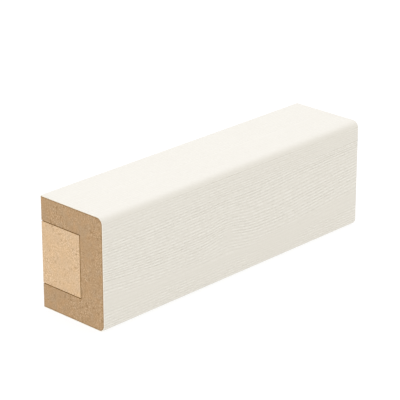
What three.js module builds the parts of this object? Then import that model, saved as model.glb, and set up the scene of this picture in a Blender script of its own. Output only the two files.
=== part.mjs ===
// A square-cut length of decorative slat moulding: an MDF channel bar with rounded front edges,
// a decor film wrapped over its front, top and underside, and a mounting batten in the groove
// that runs along its back. Millimetres, +Z up.
// +X runs along the slat, the film-covered front looks along -Y and the wall side along +Y.
// The origin is at the middle of the underside, on the surface that the slat lies on.
import * as THREE from "three";

// The section over the film, and the length that is cut
const sectionHeight = 40;
const sectionDepth = 29;
const slatLength = 126;

// The film, and the rounding of the two front edges over it
const filmThickness = 0.3;
const frontEdgeRadius = 2.5;
const roundingSteps = 12;

// The batten, a strip of 18 mm board, and the joint left open on its top, inner side and underside
const battenHeight = 22;
const battenDepth = 18;
const battenJoint = 0.3;

// The bar, the film's two edges and the batten are all flush with the back, against the wall
const wallPlane = sectionDepth / 2;

// The batten lies halfway up the section
const batten = {
  inner: wallPlane - battenDepth,
  bottom: (sectionHeight - battenHeight) / 2,
  top: (sectionHeight + battenHeight) / 2,
};

// Points of the section's outline, set in from the outer face by inset. They run from the upper
// back edge over the top, round the front and along the underside to the lower back edge.
function wrapLine(inset) {
  const front = -sectionDepth / 2 + inset;
  const bottom = inset;
  const top = sectionHeight - inset;
  const radius = Math.max(frontEdgeRadius - inset, 0);
  const points = [new THREE.Vector2(wallPlane, top)];
  const corners = [
    { centre: new THREE.Vector2(front + radius, top - radius), start: Math.PI / 2 },
    { centre: new THREE.Vector2(front + radius, bottom + radius), start: Math.PI },
  ];
  for (const { centre, start } of corners) {
    for (let step = 0; step <= roundingSteps; step++) {
      const angle = start + (step / roundingSteps) * (Math.PI / 2);
      const spoke = new THREE.Vector2(Math.cos(angle), Math.sin(angle));
      points.push(spoke.multiplyScalar(radius).add(centre));
    }
  }
  points.push(new THREE.Vector2(wallPlane, bottom));
  return points;
}

// A section drawn in depth and height, run along the whole slat
function runAlongSlat(name, points, look) {
  const section = new THREE.Shape(points);
  const solid = new THREE.ExtrudeGeometry(section, { depth: slatLength, bevelEnabled: false });
  const piece = new THREE.Mesh(solid, new THREE.MeshStandardMaterial(look));
  piece.name = name;
  piece.position.z = -slatLength / 2;
  return piece;
}

// Corners of a rectangle that is open to the back, from its lower back edge round to its upper
// back edge: the batten itself with no clearance, and the groove for it with the joint as clearance
function battenLine(clearance) {
  return [
    new THREE.Vector2(wallPlane, batten.bottom - clearance),
    new THREE.Vector2(batten.inner - clearance, batten.bottom - clearance),
    new THREE.Vector2(batten.inner - clearance, batten.top + clearance),
    new THREE.Vector2(wallPlane, batten.top + clearance),
  ];
}

// The MDF bar: the outline under the film, closed along the back by the batten's groove
function makeBar() {
  const outline = [...wrapLine(filmThickness), ...battenLine(battenJoint)];
  return runAlongSlat("mdf_bar", outline, { color: 0xbc9e7a, roughness: 0.85, metalness: 0 });
}

// The film: a sheet glued over the bar, trimmed off flush at the two back edges
function makeFilm() {
  const outline = [...wrapLine(0), ...wrapLine(filmThickness).reverse()];
  return runAlongSlat("decor_film", outline, { color: 0xf0eee6, roughness: 0.55, metalness: 0 });
}

// The batten that the slat is fixed to the wall by, flush with the back of the bar
function makeBatten() {
  const look = { color: 0xdec098, roughness: 0.85, metalness: 0 };
  return runAlongSlat("mounting_batten", battenLine(0), look);
}

// Sections are drawn as depth and height and run along their own third axis. This third of a turn
// about the diagonal lays depth along Y, height along Z and the run along X.
const slat = new THREE.Group();
slat.quaternion.set(0.5, 0.5, 0.5, 0.5);
slat.add(makeBar(), makeFilm(), makeBatten());

export default slat;
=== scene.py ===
# A cut length of decorative slat moulding: a brown MDF bar wrapped in an off-white wood-grain film,
# with a paler MDF batten in the groove along its back. Metres throughout, in the frame's own axes:
# X runs along the slat, the front looks along -Y and the floor is at Z = 0.
import math
import random

import bmesh
import bpy
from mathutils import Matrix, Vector, kdtree, noise


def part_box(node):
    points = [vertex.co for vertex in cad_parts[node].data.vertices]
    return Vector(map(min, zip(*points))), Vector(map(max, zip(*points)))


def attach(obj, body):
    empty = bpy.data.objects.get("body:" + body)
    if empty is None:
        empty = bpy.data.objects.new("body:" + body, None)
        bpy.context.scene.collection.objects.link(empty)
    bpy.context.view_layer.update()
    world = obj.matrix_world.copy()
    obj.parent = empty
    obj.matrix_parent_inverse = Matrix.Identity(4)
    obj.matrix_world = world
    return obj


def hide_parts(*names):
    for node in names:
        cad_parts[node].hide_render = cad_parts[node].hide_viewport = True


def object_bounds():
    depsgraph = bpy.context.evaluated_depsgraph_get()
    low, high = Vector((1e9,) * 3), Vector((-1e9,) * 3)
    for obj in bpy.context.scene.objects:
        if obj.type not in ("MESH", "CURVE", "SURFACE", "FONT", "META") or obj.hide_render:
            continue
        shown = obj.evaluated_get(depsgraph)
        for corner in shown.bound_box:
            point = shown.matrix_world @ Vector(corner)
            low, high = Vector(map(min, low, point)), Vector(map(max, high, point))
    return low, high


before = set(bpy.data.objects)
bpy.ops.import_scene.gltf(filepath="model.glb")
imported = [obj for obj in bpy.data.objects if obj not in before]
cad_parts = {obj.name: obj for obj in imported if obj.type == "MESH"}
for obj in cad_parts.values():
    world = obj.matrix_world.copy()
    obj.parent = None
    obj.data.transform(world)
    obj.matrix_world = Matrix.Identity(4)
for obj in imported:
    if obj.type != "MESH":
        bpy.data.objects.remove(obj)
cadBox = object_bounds()
hair = 1e-6  # slack for comparing places
crispAngle = math.radians(35)  # edges that turn further than this stay crisp

filmLow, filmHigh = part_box("decor_film")
barLow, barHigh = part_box("mdf_bar")
battenLow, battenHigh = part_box("mounting_batten")


# The front's flat stops one radius short of the top, so a solid's own corners tell its radius
def frontRadius(nodeName):
    low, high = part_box(nodeName)
    corners = [vertex.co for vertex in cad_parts[nodeName].data.vertices]
    flatTop = max(corner.z for corner in corners if corner.y < low.y + hair)
    return high.z - flatTop


# The open joint round the batten, from the floor of the groove to the batten's inner face
def battenJoint():
    corners = [vertex.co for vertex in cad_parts["mdf_bar"].data.vertices]
    grooveFloor = max(corner.y for corner in corners if corner.y < battenLow.y - hair)
    return battenLow.y - grooveFloor


jointWidth = battenJoint()


# Even steps from start to end, about a pitch apart
def spread(start, end, pitch):
    count = max(1, round((end - start) / pitch))
    return [start + (end - start) * step / count for step in range(count + 1)]


def smoothRise(value):
    value = min(max(value, 0.0), 1.0)
    return value * value * (3 - 2 * value)


# 1 in the middle of a reach, with a soft rise at its start and a soft fall at its end
def shareInReach(value, reach):
    rise = smoothRise((value - reach["from"]) / reach["rise"])
    return rise * smoothRise((reach["to"] - value) / reach["fall"])


# Turns points and faces into a piece that rides on the slat and stands for one of its solids.
# The second material goes on the listed faces: the film's cut core, and the painted shade on the boards'
# joint walls. The marks are values at the points.
def makePiece(name, points, faces, materials, node, marks, coreAndJointShadeFaces):
    mesh = bpy.data.meshes.new(name)
    mesh.from_pydata(points, [], faces)
    for material in materials:
        mesh.materials.append(material)
    for face in coreAndJointShadeFaces:
        mesh.polygons[face].material_index = 1
    for markName, values in marks.items():
        mesh.attributes.new(markName, "FLOAT", "POINT").data.foreach_set("value", values)
    shell = bmesh.new()
    shell.from_mesh(mesh)
    bmesh.ops.recalc_face_normals(shell, faces=shell.faces)
    shell.to_mesh(mesh)
    shell.free()
    mesh.shade_smooth()
    mesh.set_sharp_from_angle(angle=crispAngle)
    piece = bpy.data.objects.new(name, mesh)
    bpy.context.scene.collection.objects.link(piece)
    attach(piece, "root")
    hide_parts(node)
    print(name, "has", len(mesh.polygons), "faces")


# Small helpers for node materials: a new one with its tree and shader, one node, and groups of them
def newMaterial(name):
    material = bpy.data.materials.new(name)
    material.use_nodes = True
    shader = material.node_tree.nodes["Principled BSDF"]
    return material, material.node_tree, shader


def addNode(tree, kind, inputs=None, **settings):
    node = tree.nodes.new(kind)
    for setting, value in settings.items():
        setattr(node, setting, value)
    for socket, value in (inputs or {}).items():
        node.inputs[socket].default_value = value
    return node


# What a cloud of random tone has where its own settings leave it out
plainCloud = {"stretch": (1, 1, 1), "detail": 3.0, "roughness": 0.55}


# A cloud of random tone, its size in metres. A stretch below 1 draws it out along that axis.
def addNoise(tree, cloud):
    cloud = {**plainCloud, **cloud}
    place = addNode(tree, "ShaderNodeTexCoord")
    drawnOut = addNode(tree, "ShaderNodeMapping", {"Scale": cloud["stretch"]})
    tone = addNode(
        tree,
        "ShaderNodeTexNoise",
        {"Scale": 1 / cloud["size"], "Detail": cloud["detail"], "Roughness": cloud["roughness"]},
    )
    tree.links.new(place.outputs["Object"], drawnOut.inputs["Vector"])
    tree.links.new(drawnOut.outputs["Vector"], tone.inputs["Vector"])
    return tone.outputs["Fac"]


# Spreads what lies between the two "from" values over the two "to" values
def addRange(tree, source, spans):
    fromLow, fromHigh = spans["from"]
    toLow, toHigh = spans.get("to", (0, 1))
    ends = {"From Min": fromLow, "From Max": fromHigh, "To Min": toLow, "To Max": toHigh}
    node = addNode(tree, "ShaderNodeMapRange", ends)
    tree.links.new(source, node.inputs["Value"])
    return node.outputs["Result"]


# A cloud spread over its own range
def addCloud(tree, cloud):
    return addRange(tree, addNoise(tree, cloud), cloud)


def addMark(tree, name):
    return addNode(tree, "ShaderNodeAttribute", attribute_name=name).outputs["Fac"]


# Lays the second colour over the first where the mask is 1
def addMix(tree, mask, first, second):
    node = addNode(tree, "ShaderNodeMix", data_type="RGBA")
    tree.links.new(mask, node.inputs["Factor"])
    for socket, colour in ((6, first), (7, second)):
        if isinstance(colour, tuple):
            node.inputs[socket].default_value = (*colour, 1)
        else:
            tree.links.new(colour, node.inputs[socket])
    return node.outputs[2]


def addProduct(tree, first, second):
    node = addNode(tree, "ShaderNodeMath", operation="MULTIPLY")
    tree.links.new(first, node.inputs[0])
    tree.links.new(second, node.inputs[1])
    return node.outputs["Value"]


def addBump(tree, height, relief, before=None):
    settings = {"Distance": relief["depth"], "Strength": relief["strength"]}
    node = addNode(tree, "ShaderNodeBump", settings)
    tree.links.new(height, node.inputs["Height"])
    if before:
        tree.links.new(before, node.inputs["Normal"])
    return node.outputs["Normal"]


# The film
# Bands of grain lines run along each face. A band's start and end are shares of the way across the
# face, its spacing is in metres, and its strength is a share of the deepest line: at the near end of
# the slat, in the middle and at the far end.
filmLook = {
    "colour": (0.746, 0.716, 0.645),
    "patchColour": (0.741, 0.709, 0.637),
    "darkLine": (0.634, 0.606, 0.534),
    "lightLine": (0.822, 0.797, 0.729),
    "coreColour": (0.980, 0.920, 0.800),  # the white core that shows where the film is cut
    "coreRoughness": 0.75,
    "gloss": 1.46,  # index of refraction
    # Clouds of random tone
    "patches": {"size": 0.011, "stretch": (0.25, 1, 1), "from": (0.35, 0.7)},
    "dashes": {
        "size": 0.00055, "stretch": (0.5, 1, 1), "detail": 1.0, "from": (0.38, 0.62), "to": (0, 2),
    },
    "sheen": {"size": 0.0016, "stretch": (0.2, 1, 1), "from": (0.3, 0.7), "to": (0.40, 0.54)},
    "smears": {"size": 0.0006, "from": (0.35, 0.7)},
    "fibres": {
        "size": 0.00030, "stretch": (0.12, 1, 1), "detail": 2.0, "depth": 0.00004, "strength": 0.6,
    },
    "skin": {"size": 0.00012, "detail": 2.0, "depth": 0.00001, "strength": 0.3},
    "deepestLine": 0.00016,
    "lineWidth": 0.82,  # share of the spacing
    "widthJitter": (0.9, 1.1),
    "depthJitter": (0.85, 1.0),
    "spacingJitter": (0.9, 1.1),
    "seedSpan": 100,
    "columnPitch": 0.0006,  # between the mesh's points along the slat
    "bendPitch": 0.00017,  # and round the film, in its bends and on its flats
    "flatPitch": 0.0007,
    "closestPitch": 0.0000425,  # a row nearer than this to the last one is left out
    "rowsOverLine": (-1, -0.5, 0, 0.5, 1),  # in half widths of the line
    "crestAt": -0.005,  # where the grain arches, along X
    "crestHalf": 0.0085,
    "crestHeight": 0.0017,
    "bow": 0.0026,  # how far the lower grain sags between the two ends
    "bowRest": 0.45,  # the sag as a share of the bow, at the middle of the slat
    "climb": 0.0016,  # how far the upper grain climbs from the middle to the far end
    "archReach": {"from": 0, "rise": 0.65, "to": 1, "fall": 0.35},  # shares of the way down
    "climbReach": {"from": 0, "rise": 0.25, "to": 0.8, "fall": 0.5},
    "waveReach": {"from": 0, "rise": 0.3, "to": 1, "fall": 0.3},
    "plainTop": (0.79, 0.69),  # plain strip: shares of the way down in the middle and at the ends
    "plainBottom": (0.88, 0.84),
    "plainFade": 0.08,
    "plainDepth": 0.26,  # share of a line's depth that is left in the plain strip
    "baldAt": 0.62,  # short bald patch under the arch: share of the way down
    "baldReach": 0.14,
    "baldHalf": 0.0028,
    "baldDepth": 0.15,
    # Random waves: how many to the metre along the slat, and how they change across the grain
    "wander": {"middle": 0, "size": 0.0010, "along": 26, "across": 1.5, "seed": 3.7},
    "ripple": {"middle": 0, "size": 0.00022, "along": 130, "across": 320, "seed": 1.2},
    "swell": {"middle": 0.86, "size": 0.25, "along": 90, "across": 1, "seed": 0.5},
    "dash": {"middle": 0, "size": 0.75, "along": 800, "across": 1, "seed": 4.5},
    "runOut": {"middle": 1.3, "size": 1.8, "along": 20, "across": 1, "seed": 8.5},
    "patch": {"middle": 0.62, "size": 1.6, "along": 42, "across": 90, "seed": 3.5},
    "seed": 7,
    "topBands": [
        {"from": 0.04, "to": 0.26, "spacing": 0.00120, "strength": (0.20, 0.20, 0.20)},
        {"from": 0.26, "to": 0.55, "spacing": 0.00100, "strength": (0.30, 0.30, 0.30)},
        {"from": 0.68, "to": 0.93, "spacing": 0.00110, "strength": (0.22, 0.22, 0.22)},
    ],
    # A patchy band comes and goes along the slat, from 0 not at all to 1 wholly
    "frontBands": [
        {"from": 0.085, "to": 0.215, "spacing": 0.00088, "strength": (0.40, 0.76, 0.42), "patchy": 0.5},
        {"from": 0.215, "to": 0.335, "spacing": 0.00098, "strength": (0.84, 0.92, 1.06)},
        {"from": 0.335, "to": 0.440, "spacing": 0.00118, "strength": (0.72, 0.74, 0.56)},
        {"from": 0.440, "to": 0.610, "spacing": 0.00106, "strength": (0.98, 0.80, 0.86)},
        {"from": 0.610, "to": 0.740, "spacing": 0.00112, "strength": (0.74, 0.46, 0.62)},
        {"from": 0.770, "to": 0.960, "spacing": 0.00090, "strength": (0.80, 0.58, 0.56), "patchy": 0.7},
    ],
    "undersideBands": [
        {"from": 0.06, "to": 0.40, "spacing": 0.00105, "strength": (0.60, 0.65, 0.70)},
        {"from": 0.52, "to": 0.95, "spacing": 0.00115, "strength": (0.60, 0.55, 0.50)},
    ],
}

filmRadius = frontRadius("decor_film")
filmThickness = barLow.z - filmLow.z
wrap = {
    "flat": filmHigh.y - filmLow.y - filmRadius,
    "bend": filmRadius * math.pi / 2,
    "front": filmHigh.z - filmLow.z - 2 * filmRadius,
}
wrapLength = 2 * wrap["flat"] + 2 * wrap["bend"] + wrap["front"]


# Place and outward direction on the film's face, as (y, z) pairs, at a distance round it from its
# upper back edge: over the top, round the front and back along the underside
def wrapPoint(distance):
    bendY = filmLow.y + filmRadius
    if distance <= wrap["flat"]:
        return Vector((filmHigh.y - distance, filmHigh.z)), Vector((0, 1))
    distance -= wrap["flat"]
    if distance <= wrap["bend"]:
        angle = distance / filmRadius
        out = Vector((-math.sin(angle), math.cos(angle)))
        return Vector((bendY, filmHigh.z - filmRadius)) + out * filmRadius, out
    distance -= wrap["bend"]
    if distance <= wrap["front"]:
        return Vector((filmLow.y, filmHigh.z - filmRadius - distance)), Vector((-1, 0))
    distance -= wrap["front"]
    if distance <= wrap["bend"]:
        angle = distance / filmRadius
        out = Vector((-math.cos(angle), -math.sin(angle)))
        return Vector((bendY, filmLow.z + filmRadius)) + out * filmRadius, out
    distance -= wrap["bend"]
    return Vector((bendY + distance, filmLow.z)), Vector((0, -1))


# Share of the way down the front's flat, for a row of points round the film
def shareDown(row):
    return (row - wrap["flat"] - wrap["bend"]) / wrap["front"]


# The grain lines of one face, each with its place round the film, half width and depth
def grainLines(start, length, bands, dice):
    lines = []
    place = start
    for band in bands:
        halfWidth = band["spacing"] * filmLook["lineWidth"] / 2
        place = max(place, start + length * band["from"])
        while place < start + length * band["to"]:
            lines.append({
                "at": place,
                "half": halfWidth * dice.uniform(*filmLook["widthJitter"]),
                "depth": filmLook["deepestLine"] * dice.uniform(*filmLook["depthJitter"]),
                "seed": dice.uniform(0, filmLook["seedSpan"]),
                "strength": band["strength"],
                "patchy": band.get("patchy", 0.0),
            })
            place += band["spacing"] * dice.uniform(*filmLook["spacingJitter"])
    return lines


# Rows of points round the film: up to five over each line, and close together in the bends
def grainRows(lines):
    stops = [0, wrap["flat"], wrap["flat"] + wrap["bend"]]
    stops += [wrapLength - stop for stop in stops]
    for line in lines:
        stops += [line["at"] + line["half"] * share for share in filmLook["rowsOverLine"]]
    stops.sort()
    rows = [stops[0]]
    for stop in stops[1:]:
        start = rows[-1]
        if stop - start < filmLook["closestPitch"] and stop < wrapLength:
            continue
        outward = wrapPoint((start + stop) / 2)[1]
        flat = max(abs(outward.x), abs(outward.y)) > 1 - hair
        pitch = filmLook["flatPitch"] if flat else filmLook["bendPitch"]
        count = math.ceil((stop - start) / pitch)
        rows += [start + (stop - start) * step / count for step in range(1, count + 1)]
    return rows


# One of the film's random waves, at a place along the slat and across its grain
def grainWave(name, along, across):
    wave = filmLook[name]
    place = Vector((along * wave["along"], across * wave["across"], wave["seed"]))
    return wave["middle"] + wave["size"] * noise.noise(place)


# 1 at the crest of the arched grain, falling away along the slat on both sides of it
def nearCrest(along, half):
    return math.exp(-(((along - filmLook["crestAt"]) / half) ** 2))


# How far a row drifts down the front at a place along the slat. It is nothing at the bends, so
# that the arched grain fades out there.
def grainDrift(along, row):
    down = shareDown(row)
    if not 0 < down < 1:
        return 0.0
    alongShare = along / filmHigh.x
    arch = filmLook["crestHeight"] * nearCrest(along, filmLook["crestHalf"])
    bow = filmLook["bow"] * (filmLook["bowRest"] - alongShare ** 2)
    drift = (bow - arch) * shareInReach(down, filmLook["archReach"])
    drift -= filmLook["climb"] * alongShare * shareInReach(down, filmLook["climbReach"])
    waves = grainWave("wander", along, down) + grainWave("ripple", along, row)
    return drift + waves * shareInReach(down, filmLook["waveReach"])


# 1 inside the strip of plain film above the front's lower edge
def inPlainStrip(along, row):
    nearEnd = (along / filmHigh.x) ** 2
    top, bottom = (
        middle + (end - middle) * nearEnd
        for middle, end in (filmLook["plainTop"], filmLook["plainBottom"])
    )
    fade = filmLook["plainFade"]
    strip = {"from": top - fade / 2, "rise": fade, "to": bottom + fade / 2, "fall": fade}
    return shareInReach(shareDown(row + grainDrift(along, row)), strip)


# Share of a line's depth at a place along it. Lines swell and thin, break up and run out.
def lineSwell(along, line):
    swell = grainWave("swell", along, line["seed"]) + grainWave("dash", along, line["seed"])
    present = smoothRise(grainWave("runOut", along, line["seed"]))
    near, middle, far = line["strength"]
    end = far if along > 0 else near
    present *= middle + (end - middle) * abs(along) / filmHigh.x
    patch = smoothRise(grainWave("patch", along, line["at"]))
    present *= 1 - line["patchy"] * (1 - patch)
    present *= 1 - (1 - filmLook["plainDepth"]) * inPlainStrip(along, line["at"])
    offBald = abs(shareDown(line["at"]) - filmLook["baldAt"])
    bald = nearCrest(along, filmLook["baldHalf"]) * smoothRise(1 - offBald / filmLook["baldReach"])
    present *= 1 - (1 - filmLook["baldDepth"]) * bald
    return min(max(swell, 0.0), 1.0) * present


def makeFilm(materials):
    dice = random.Random(filmLook["seed"])
    frontStart = wrap["flat"]
    frontLength = 2 * wrap["bend"] + wrap["front"]
    undersideStart = frontStart + frontLength
    lines = grainLines(0, wrap["flat"], filmLook["topBands"], dice)
    lines += grainLines(frontStart, frontLength, filmLook["frontBands"], dice)
    lines += grainLines(undersideStart, wrap["flat"], filmLook["undersideBands"], dice)
    rows = grainRows(lines)
    columns = spread(filmLow.x, filmHigh.x, filmLook["columnPitch"])
    swells = [[lineSwell(along, line) for along in columns] for line in lines]

    # A line's own section is a wave: 1 in the middle of its groove and -1 at its two edges
    points = []
    tones = []
    for row in rows:
        near = [
            (math.cos(math.pi * (row - line["at"]) / line["half"]), line["depth"], swell)
            for line, swell in zip(lines, swells)
            if abs(row - line["at"]) < line["half"] + hair
        ]
        for index, along in enumerate(columns):
            depth = sum((0.5 + 0.5 * wave) * deep * swell[index] for wave, deep, swell in near)
            tone = sum(wave * deep * swell[index] for wave, deep, swell in near)
            place, outward = wrapPoint(row + grainDrift(along, row))
            place = place - outward * depth
            points.append((along, place.x, place.y))
            tones.append(tone / filmLook["deepestLine"])
    innerStart = len(points)
    for row in rows:
        place, outward = wrapPoint(row)
        place = place - outward * filmThickness
        points += [(filmLow.x, place.x, place.y), (filmHigh.x, place.x, place.y)]
        tones += [0.0, 0.0]

    width = len(columns)
    faces = []
    coreAndJointShadeFaces = []
    for row in range(len(rows) - 1):
        for column in range(width - 1):
            corner = row * width + column
            faces.append((corner, corner + 1, corner + width + 1, corner + width))
        inner = innerStart + 2 * row
        last = row * width + width - 1
        faces.append((inner, inner + 2, inner + 3, inner + 1))  # glued side
        coreAndJointShadeFaces += [len(faces), len(faces) + 1]
        faces.append((row * width, (row + 1) * width, inner + 2, inner))  # near end
        faces.append((last, inner + 1, inner + 3, last + width))  # far end
    lastRow = (len(rows) - 1) * width
    upperEdge = list(range(width)) + [innerStart + 1, innerStart]
    lowerEdge = list(range(lastRow, lastRow + width)) + [len(points) - 1, len(points) - 2]
    coreAndJointShadeFaces += [len(faces), len(faces) + 1]
    faces += [upperEdge, lowerEdge]
    marks = {"grainTone": tones}
    makePiece("woodGrainFilm", points, faces, materials, "decor_film", marks, coreAndJointShadeFaces)


# The tint of the lines breaks up into dashes along them, as printed pores do
def makeFilmMaterial():
    material, tree, shader = newMaterial("offWhiteGrainFilm")
    shader.inputs["IOR"].default_value = filmLook["gloss"]
    patches = addCloud(tree, filmLook["patches"])
    colour = addMix(tree, patches, filmLook["colour"], filmLook["patchColour"])
    grain = addProduct(tree, addMark(tree, "grainTone"), addCloud(tree, filmLook["dashes"]))
    colour = addMix(tree, addRange(tree, grain, {"from": (0, 1)}), colour, filmLook["darkLine"])
    colour = addMix(tree, addRange(tree, grain, {"from": (0, -1)}), colour, filmLook["lightLine"])
    tree.links.new(colour, shader.inputs["Base Color"])
    tree.links.new(addCloud(tree, filmLook["sheen"]), shader.inputs["Roughness"])
    normal = None
    for relief in (filmLook["fibres"], filmLook["skin"]):
        normal = addBump(tree, addNoise(tree, relief), relief, normal)
    tree.links.new(normal, shader.inputs["Normal"])
    return material


def makeCoreMaterial():
    material, tree, shader = newMaterial("cutFilmCore")
    shader.inputs["Roughness"].default_value = filmLook["coreRoughness"]
    smears = addCloud(tree, filmLook["smears"])
    colour = addMix(tree, smears, filmLook["coreColour"], filmLook["lightLine"])
    tree.links.new(colour, shader.inputs["Base Color"])
    return material


# The two MDF pieces
# Both are sawn square at their ends. The sawn faces carry the blade's arcs, soft felted fibre and
# small torn pits, all cut into the mesh.
boardLook = {
    "pitch": 0.0002,  # of the grid over the section
    "stationPitch": 0.009,
    "ease": 0.00008,  # radius of the long edges that are bare board
    # The blade's centre is off the section, so that its marks are arcs. They wander by a share of
    # their pitch.
    "saw": {
        "centre": (0.03, -0.09), "pitch": 0.0011, "depth": 0.000010, "wander": 0.35, "rate": 300,
    },
    "felt": {"size": 0.0007, "depth": 0.000022, "stretch": 0.7, "endShift": 0.01, "fine": (0.8, 2.0, 3)},
    "pits": {"perSquareCentimetre": 26, "radius": (0.00022, 0.00050), "depth": (0.00003, 0.00009)},
    # Painted shade in the torn pits, darker where they are deeper
    "paintedPitShade": {"from": (0.1, 1), "to": (0, 0.6)},
    "glueLine": 0.00055,  # how far the glue under the film has darkened the bar
    "glueShade": {"from": (0, 1), "to": (0, 0.85)},
    # Clouds of random tone
    "warm": {"size": 0.0042, "detail": 2.0, "from": (0.45, 0.68)},
    "grey": {"size": 0.0027, "stretch": (1.1, 1, 0.9), "detail": 2.0, "from": (0.50, 0.72)},
    "speckle": {"size": 0.00046, "stretch": (1, 1, 0.85), "detail": 2.0, "roughness": 0.7},
    "darkSpeckle": {"from": (0.5, 0.3), "to": (0, 0.64)},
    "lightSpeckle": {"from": (0.5, 0.7), "to": (0, 0.80)},
    "drifts": {
        "size": 0.0055, "stretch": (1, 1, 0.8), "detail": 2.0, "from": (0.38, 0.58), "to": (0.4, 1),
    },
    "facing": {"from": (0, 1), "to": (0.5, 1)},  # fleck on the faces along the slat, and on the ends
    "darkFlecks": {"size": 0.0014, "share": 0.45, "seed": 0.0, "tint": 0.72},
    "lightFlecks": {"size": 0.0010, "share": 0.55, "seed": 0.5, "tint": 1.00},
    "fleckStretch": (0.8, 1, 0.75),
    "fleckEdge": {"from": (0.18, 0.42), "to": (1, 0)},
    "fullFlecks": 0.6,  # share of the flecks that have their full tint
    "raggedSize": 0.35,  # of the ragged edge, as a share of the fleck
    "raggedFrom": (0.30, 0.52),
    "roughness": {"from": (0.3, 0.7), "to": (0.96, 0.80)},
    "gloss": 1.38,
    "fibres": {
        "size": 0.00045, "stretch": (0.8, 1, 0.7), "roughness": 0.6, "depth": 0.00004, "strength": 0.5,
    },
    "fuzz": {
        "size": 0.00018, "stretch": (0.7, 1, 0.5), "detail": 2.0, "depth": 0.00002, "strength": 0.5,
    },
    # Painted shade for the walls of the open joint round the batten
    "jointShadeDark": (0.384, 0.204, 0.043),
    "jointShadeLight": (0.528, 0.300, 0.072),
    "jointShadeStreaks": {"size": 0.0009, "stretch": (0.1, 1, 1), "from": (0.3, 0.7)},
    "jointShadeRoughness": 0.9,
    "jointShadeGloss": 0.1,
}
barLook = {
    "colour": (0.464, 0.301, 0.162),
    "warmColour": (0.493, 0.306, 0.155),
    "greyColour": (0.448, 0.305, 0.178),
    "darkFleck": (0.264, 0.144, 0.048),
    "lightFleck": (0.723, 0.530, 0.346),
    "seed": 21,
}
battenLook = {
    "colour": (0.679, 0.475, 0.287),
    "warmColour": (0.704, 0.479, 0.274),
    "greyColour": (0.670, 0.481, 0.305),
    "darkFleck": (0.400, 0.244, 0.119),
    "lightFleck": (0.950, 0.722, 0.482),
    "seed": 34,
}


# Grid lines through all the stops, and about a pitch apart between them
def gridLines(stops, pitch):
    lines = [stops[0]]
    for start, end in zip(stops, stops[1:]):
        lines += spread(start, end, pitch)[1:]
    return lines


# A corner of the section, with the side on which the board's outline turns, to be rounded off
def sectionCorner(y, z, sideY, sideZ, radius):
    centre = Vector((y - sideY * radius, z - sideZ * radius))
    return {"centre": centre, "side": (sideY, sideZ), "radius": radius}


# Draws a square corner of the section in to an arc, and everything within the corner with it
def roundCorner(place, corner):
    arm = place - corner["centre"]
    radius = corner["radius"]
    out = (arm.x * corner["side"][0], arm.y * corner["side"][1])
    if min(out) <= 0 or max(out) > radius + hair:
        return place
    return corner["centre"] + arm * (max(out) / arm.length)


# Torn pits scattered over a sawn face, as a tree of places with their radius and depth
def scatterPits(low, high, dice):
    look = boardLook["pits"]
    squareCentimetres = (high.y - low.y) * (high.z - low.z) * 100 * 100
    count = round(squareCentimetres * look["perSquareCentimetre"])
    tree = kdtree.KDTree(count)
    pits = []
    for index in range(count):
        place = Vector((dice.uniform(low.y, high.y), dice.uniform(low.z, high.z), 0))
        tree.insert(place, index)
        pits.append((dice.uniform(*look["radius"]), dice.uniform(*look["depth"])))
    tree.balance()
    return tree, pits


# How deep the blade's arcs and the felted fibre are at a point of a sawn face. The turn is 1 at the
# near end and -1 at the far end, where the blade came from the other side.
def sawDepth(place, turn):
    saw = boardLook["saw"]
    centreY, centreZ = saw["centre"]
    reach = (place - Vector((centreY, centreZ * turn))).length
    wanderPlace = Vector((place.x * saw["rate"], place.y * saw["rate"], turn))
    wander = noise.noise(wanderPlace) * saw["wander"]
    arc = 0.5 + 0.5 * math.sin(2 * math.pi * (reach / saw["pitch"] + wander))
    look = boardLook["felt"]
    feltPlace = Vector((place.x, place.y * look["stretch"], look["endShift"] * turn)) / look["size"]
    felt = 0.5 + 0.5 * noise.fractal(feltPlace, *look["fine"])
    return arc * saw["depth"] + min(max(felt, 0), 1) * look["depth"]


# How deep a point of a sawn face is torn by the pits round it
def tornDepth(place, tree, pits):
    torn = 0.0
    widest = boardLook["pits"]["radius"][1]
    for _, index, distance in tree.find_range((place.x, place.y, 0), widest):
        radius, pitDepth = pits[index]
        if distance < radius:
            torn = max(torn, pitDepth * (0.5 + 0.5 * math.cos(math.pi * distance / radius)))
    return torn


# Whether a wall of either board faces the open joint round the batten
def inJoint(y, z):
    reach = jointWidth + hair
    deep = battenLow.y - reach < y < battenHigh.y - boardLook["ease"] / 2
    return deep and battenLow.z - reach < z < battenHigh.z + reach


# The four sides of a grid cell: where the next cell is, and the side's two corners
cellSides = (
    ((0, -1), (0, 0), (1, 0)),
    ((1, 0), (1, 0), (1, 1)),
    ((0, 1), (1, 1), (0, 1)),
    ((-1, 0), (0, 1), (0, 0)),
)
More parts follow.
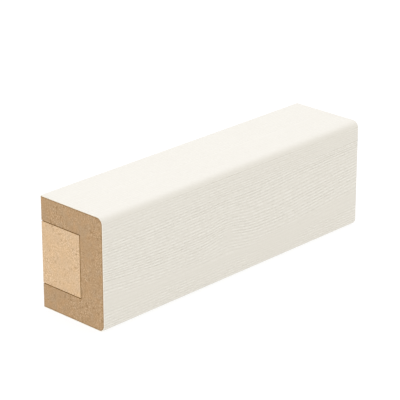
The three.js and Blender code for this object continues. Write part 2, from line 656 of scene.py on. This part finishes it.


# A board run along the slat from a grid over its section. Cells are left out where there is no
# board, and the walls follow the edges of what is left. Walls in the joint take the painted joint
# shade. A knot is a crossing of the grid, and a station is a place along the slat.
def makeBoard(name, board, materials, node):
    low, high = board["low"], board["high"]
    yLines = gridLines(board["yStops"], boardLook["pitch"])
    zLines = gridLines(board["zStops"], boardLook["pitch"])
    stations = spread(low.x, high.x, boardLook["stationPitch"])
    cells = [
        (across, up)
        for across in range(len(yLines) - 1)
        for up in range(len(zLines) - 1)
        if not board["isOpen"](
            (yLines[across] + yLines[across + 1]) / 2, (zLines[up] + zLines[up + 1]) / 2
        )
    ]
    filled = set(cells)
    rim = [
        ((across + start[0], up + start[1]), (across + end[0], up + end[1]))
        for across, up in cells
        for step, start, end in cellSides
        if (across + step[0], up + step[1]) not in filled
    ]

    points = []
    torn = []
    glued = []
    numbers = {}

    def addPoint(station, knot, depth=0.0, tear=0.0):
        place = Vector((yLines[knot[0]], zLines[knot[1]]))
        for corner in board["corners"]:
            place = roundCorner(place, corner)
        numbers[station, knot] = len(points)
        points.append((stations[station] + depth, place.x, place.y))
        torn.append(tear)
        glued.append(board["glueAt"](place))

    knots = sorted({
        (across + right, up + above)
        for across, up in cells
        for right in (0, 1)
        for above in (0, 1)
    })
    lastStation = len(stations) - 1
    for station, inward in ((0, 1), (lastStation, -1)):
        dice = random.Random(board["seed"] + station)
        tree, pits = scatterPits(low, high, dice)
        for knot in knots:
            place = Vector((yLines[knot[0]], zLines[knot[1]]))
            tear = tornDepth(place, tree, pits)
            depth = sawDepth(place, inward) + tear
            # The pit's share of its deepest depth also sets its painted shade
            addPoint(station, knot, depth * inward, tear / boardLook["pits"]["depth"][1])
    rimKnots = sorted({start for start, end in rim})
    for station in range(1, lastStation):
        for knot in rimKnots:
            addPoint(station, knot)

    faces = []
    coreAndJointShadeFaces = []
    for across, up in cells:
        ring = ((across, up), (across + 1, up), (across + 1, up + 1), (across, up + 1))
        faces.append([numbers[0, knot] for knot in ring])
        faces.append([numbers[lastStation, knot] for knot in reversed(ring)])
    for station in range(lastStation):
        for start, end in rim:
            # Walls in the open joint take the painted joint shade
            if all(inJoint(yLines[knot[0]], zLines[knot[1]]) for knot in (start, end)):
                coreAndJointShadeFaces.append(len(faces))
            faces.append((
                numbers[station, start],
                numbers[station + 1, start],
                numbers[station + 1, end],
                numbers[station, end],
            ))
    marks = {"paintedPitShadeMark": torn, "glueShade": glued}
    makePiece(name, points, faces, materials, node, marks, coreAndJointShadeFaces)


def makeBar(materials):
    radius = frontRadius("mdf_bar")
    ease = boardLook["ease"]
    frontY = barLow.y + radius
    back = barHigh.y
    grooveFloor = battenLow.y - jointWidth
    grooveLow = battenLow.z - jointWidth
    grooveHigh = battenHigh.z + jointWidth
    middleZ = (barLow.z + barHigh.z) / 2

    def inGroove(y, z):
        return y > grooveFloor and grooveLow < z < grooveHigh

    # 1 right under the film, falling to 0 where its glue has not reached
    def glueAt(place):
        armY = frontY - place.x
        armZ = abs(place.y - middleZ) - (barHigh.z - middleZ - radius)
        rounded = armY > 0 and armZ > 0
        under = radius - (math.hypot(armY, armZ) if rounded else max(armY, armZ))
        return max(0.0, 1 - under / boardLook["glueLine"])

    bar = {
        "low": barLow,
        "high": barHigh,
        "yStops": [barLow.y, frontY, grooveFloor, back - ease, back],
        "zStops": [
            barLow.z, barLow.z + radius, grooveLow - ease, grooveLow,
            grooveHigh, grooveHigh + ease, barHigh.z - radius, barHigh.z,
        ],
        "corners": [
            sectionCorner(barLow.y, barHigh.z, -1, 1, radius),
            sectionCorner(barLow.y, barLow.z, -1, -1, radius),
            sectionCorner(back, grooveLow, 1, 1, ease),
            sectionCorner(back, grooveHigh, 1, -1, ease),
        ],
        "isOpen": inGroove,
        "glueAt": glueAt,
        "seed": barLook["seed"],
    }
    makeBoard("mdfBar", bar, materials, "mdf_bar")


def makeBatten(materials):
    ease = boardLook["ease"]
    low, high = battenLow, battenHigh
    batten = {
        "low": low,
        "high": high,
        "yStops": [low.y, low.y + ease, high.y - ease, high.y],
        "zStops": [low.z, low.z + ease, high.z - ease, high.z],
        "corners": [
            sectionCorner(y, z, sideY, sideZ, ease)
            for y, sideY in ((low.y, -1), (high.y, 1))
            for z, sideZ in ((low.z, -1), (high.z, 1))
        ],
        "isOpen": lambda y, z: False,
        "glueAt": lambda place: 0.0,
        "seed": battenLook["seed"],
    }
    makeBoard("mountingBatten", batten, materials, "mounting_batten")


# Where fleck shows: in drifts, and more on the sawn ends than on the smooth faces along the slat
def addFleckShare(tree):
    surface = addNode(tree, "ShaderNodeNewGeometry")
    outward = addNode(tree, "ShaderNodeSeparateXYZ")
    facing = addNode(tree, "ShaderNodeMath", operation="ABSOLUTE")
    tree.links.new(surface.outputs["True Normal"], outward.inputs["Vector"])
    tree.links.new(outward.outputs["X"], facing.inputs[0])
    sawn = addRange(tree, facing.outputs["Value"], boardLook["facing"])
    return addProduct(tree, sawn, addCloud(tree, boardLook["drifts"]))


# Scattered ragged flecks of one kind: a mask that is up to the tint inside a fleck
def addFlecks(tree, flecks):
    stretch = boardLook["fleckStretch"]
    place = addNode(tree, "ShaderNodeTexCoord")
    shifted = addNode(tree, "ShaderNodeMapping", {"Location": (flecks["seed"],) * 3, "Scale": stretch})
    cells = addNode(tree, "ShaderNodeTexVoronoi", {"Scale": 1 / flecks["size"], "Randomness": 1.0})
    tree.links.new(place.outputs["Object"], shifted.inputs["Vector"])
    tree.links.new(shifted.outputs["Vector"], cells.inputs["Vector"])
    inside = addRange(tree, cells.outputs["Distance"], boardLook["fleckEdge"])
    pick = addNode(tree, "ShaderNodeSeparateColor")
    tree.links.new(cells.outputs["Color"], pick.inputs["Color"])
    chosenFrom = (flecks["share"], flecks["share"] * boardLook["fullFlecks"])
    chosen = addRange(tree, pick.outputs["Red"], {"from": chosenFrom})
    ragged = {
        "size": flecks["size"] * boardLook["raggedSize"],
        "stretch": stretch,
        "detail": 1.0,
        "from": boardLook["raggedFrom"],
        "to": (0, flecks["tint"]),
    }
    return addProduct(tree, addProduct(tree, inside, chosen), addCloud(tree, ragged))


def makeBoardMaterial(name, look):
    material, tree, shader = newMaterial(name)
    shader.inputs["IOR"].default_value = boardLook["gloss"]
    warm = addCloud(tree, boardLook["warm"])
    colour = addMix(tree, warm, look["colour"], look["warmColour"])
    colour = addMix(tree, addCloud(tree, boardLook["grey"]), colour, look["greyColour"])

    speckle = addNoise(tree, boardLook["speckle"])
    share = addFleckShare(tree)
    for mask, fleckColour in (
        (addFlecks(tree, boardLook["darkFlecks"]), look["darkFleck"]),
        (addFlecks(tree, boardLook["lightFlecks"]), look["lightFleck"]),
        (addRange(tree, speckle, boardLook["darkSpeckle"]), look["darkFleck"]),
        (addRange(tree, speckle, boardLook["lightSpeckle"]), look["lightFleck"]),
    ):
        colour = addMix(tree, addProduct(tree, mask, share), colour, fleckColour)
    # The pits take painted shade by their depth, and the glue darkens the bar under the film's edge
    for mark, shade in (("paintedPitShadeMark", "paintedPitShade"), ("glueShade", "glueShade")):
        mask = addRange(tree, addMark(tree, mark), boardLook[shade])
        colour = addMix(tree, mask, colour, look["darkFleck"])
    tree.links.new(colour, shader.inputs["Base Color"])

    fibres = addNoise(tree, boardLook["fibres"])
    fuzz = addNoise(tree, boardLook["fuzz"])
    roughness = addRange(tree, fibres, boardLook["roughness"])
    tree.links.new(roughness, shader.inputs["Roughness"])
    normal = addBump(tree, fibres, boardLook["fibres"])
    normal = addBump(tree, fuzz, boardLook["fuzz"], normal)
    tree.links.new(normal, shader.inputs["Normal"])
    return material


# Painted shade on the sides of the open joint round the batten, dark brown with streaks
def makeJointPaintedShadeMaterial():
    material, tree, shader = newMaterial("jointPaintedShade")
    shader.inputs["Roughness"].default_value = boardLook["jointShadeRoughness"]
    shader.inputs["Specular IOR Level"].default_value = boardLook["jointShadeGloss"]
    streaks = addCloud(tree, boardLook["jointShadeStreaks"])
    colour = addMix(tree, streaks, boardLook["jointShadeDark"], boardLook["jointShadeLight"])
    tree.links.new(colour, shader.inputs["Base Color"])
    return material


makeFilm([makeFilmMaterial(), makeCoreMaterial()])
# Painted shade for the walls of the joint round the batten
jointShadeMaterial = makeJointPaintedShadeMaterial()
makeBar([makeBoardMaterial("brownMdf", barLook), jointShadeMaterial])
makeBatten([makeBoardMaterial("paleMdf", battenLook), jointShadeMaterial])
print("slat made")


# The floor, the light and the camera
studio = {
    "floorHalf": 6.0,
    "floorColour": (0.20, 0.20, 0.20),
    "floorRoughness": 0.9,
    "floorGlow": 0.81,  # the floor is a light table, so shadows on it stay faint
    "glowColour": (1, 1, 1),
    "fill": 0.93,
    "fillColour": (1.0, 0.985, 0.955),
    "keyPower": 2.37,
    "keyColour": (0.93, 0.998, 1.18),
    "keySize": 0.80,
    "keyPlace": (0.0, 0.12, 0.70),
    "azimuth": -46.38,  # degrees, 0 looks along +Y
    "elevation": 22.28,
    "distance": 0.672,
    "lens": 175.6,  # millimetres, on a sensor 36 wide
    "aimRight": -0.0025,
    "aimUp": 0.0037,
}
slatMiddle = (cadBox[0] + cadBox[1]) / 2


def makeFloor():
    half = studio["floorHalf"]
    corners = [(-half, -half, 0), (half, -half, 0), (half, half, 0), (-half, half, 0)]
    mesh = bpy.data.meshes.new("paleFloor")
    mesh.from_pydata(corners, [], [(0, 1, 2, 3)])
    material, tree, shader = newMaterial("paleFloorPaint")
    shader.inputs["Base Color"].default_value = (*studio["floorColour"], 1)
    shader.inputs["Roughness"].default_value = studio["floorRoughness"]
    shader.inputs["Emission Color"].default_value = (*studio["glowColour"], 1)
    shader.inputs["Emission Strength"].default_value = studio["floorGlow"]
    mesh.materials.append(material)
    floor = bpy.data.objects.new("paleFloor", mesh)
    bpy.context.scene.collection.objects.link(floor)


def makeLight():
    world = bpy.data.worlds.new("softFill")
    world.use_nodes = True
    background = world.node_tree.nodes["Background"]
    background.inputs["Color"].default_value = (*studio["fillColour"], 1)
    background.inputs["Strength"].default_value = studio["fill"]
    bpy.context.scene.world = world
    lamp = bpy.data.lights.new("softKey", "AREA")
    lamp.size = studio["keySize"]
    lamp.energy = studio["keyPower"]
    lamp.color = studio["keyColour"]
    key = bpy.data.objects.new("softKey", lamp)
    key.location = studio["keyPlace"]
    key.rotation_euler = (key.location - slatMiddle).to_track_quat("Z", "Y").to_euler()
    bpy.context.scene.collection.objects.link(key)


def makeCamera():
    azimuth = math.radians(studio["azimuth"])
    elevation = math.radians(studio["elevation"])
    level = math.cos(elevation)
    back = Vector((math.sin(azimuth) * level, -math.cos(azimuth) * level, math.sin(elevation)))
    right = Vector((math.cos(azimuth), math.sin(azimuth), 0))
    up = back.cross(right)
    lensData = bpy.data.cameras.new("photoCamera")
    lensData.lens = studio["lens"]
    camera = bpy.data.objects.new("photoCamera", lensData)
    camera.location = slatMiddle + back * studio["distance"]
    target = slatMiddle + right * studio["aimRight"] + up * studio["aimUp"]
    camera.rotation_euler = (camera.location - target).to_track_quat("Z", "Y").to_euler()
    bpy.context.scene.collection.objects.link(camera)
    bpy.context.scene.camera = camera


makeFloor()
makeLight()
makeCamera()
bpy.context.scene.view_settings.view_transform = "Standard"
print("floor, light and camera set")
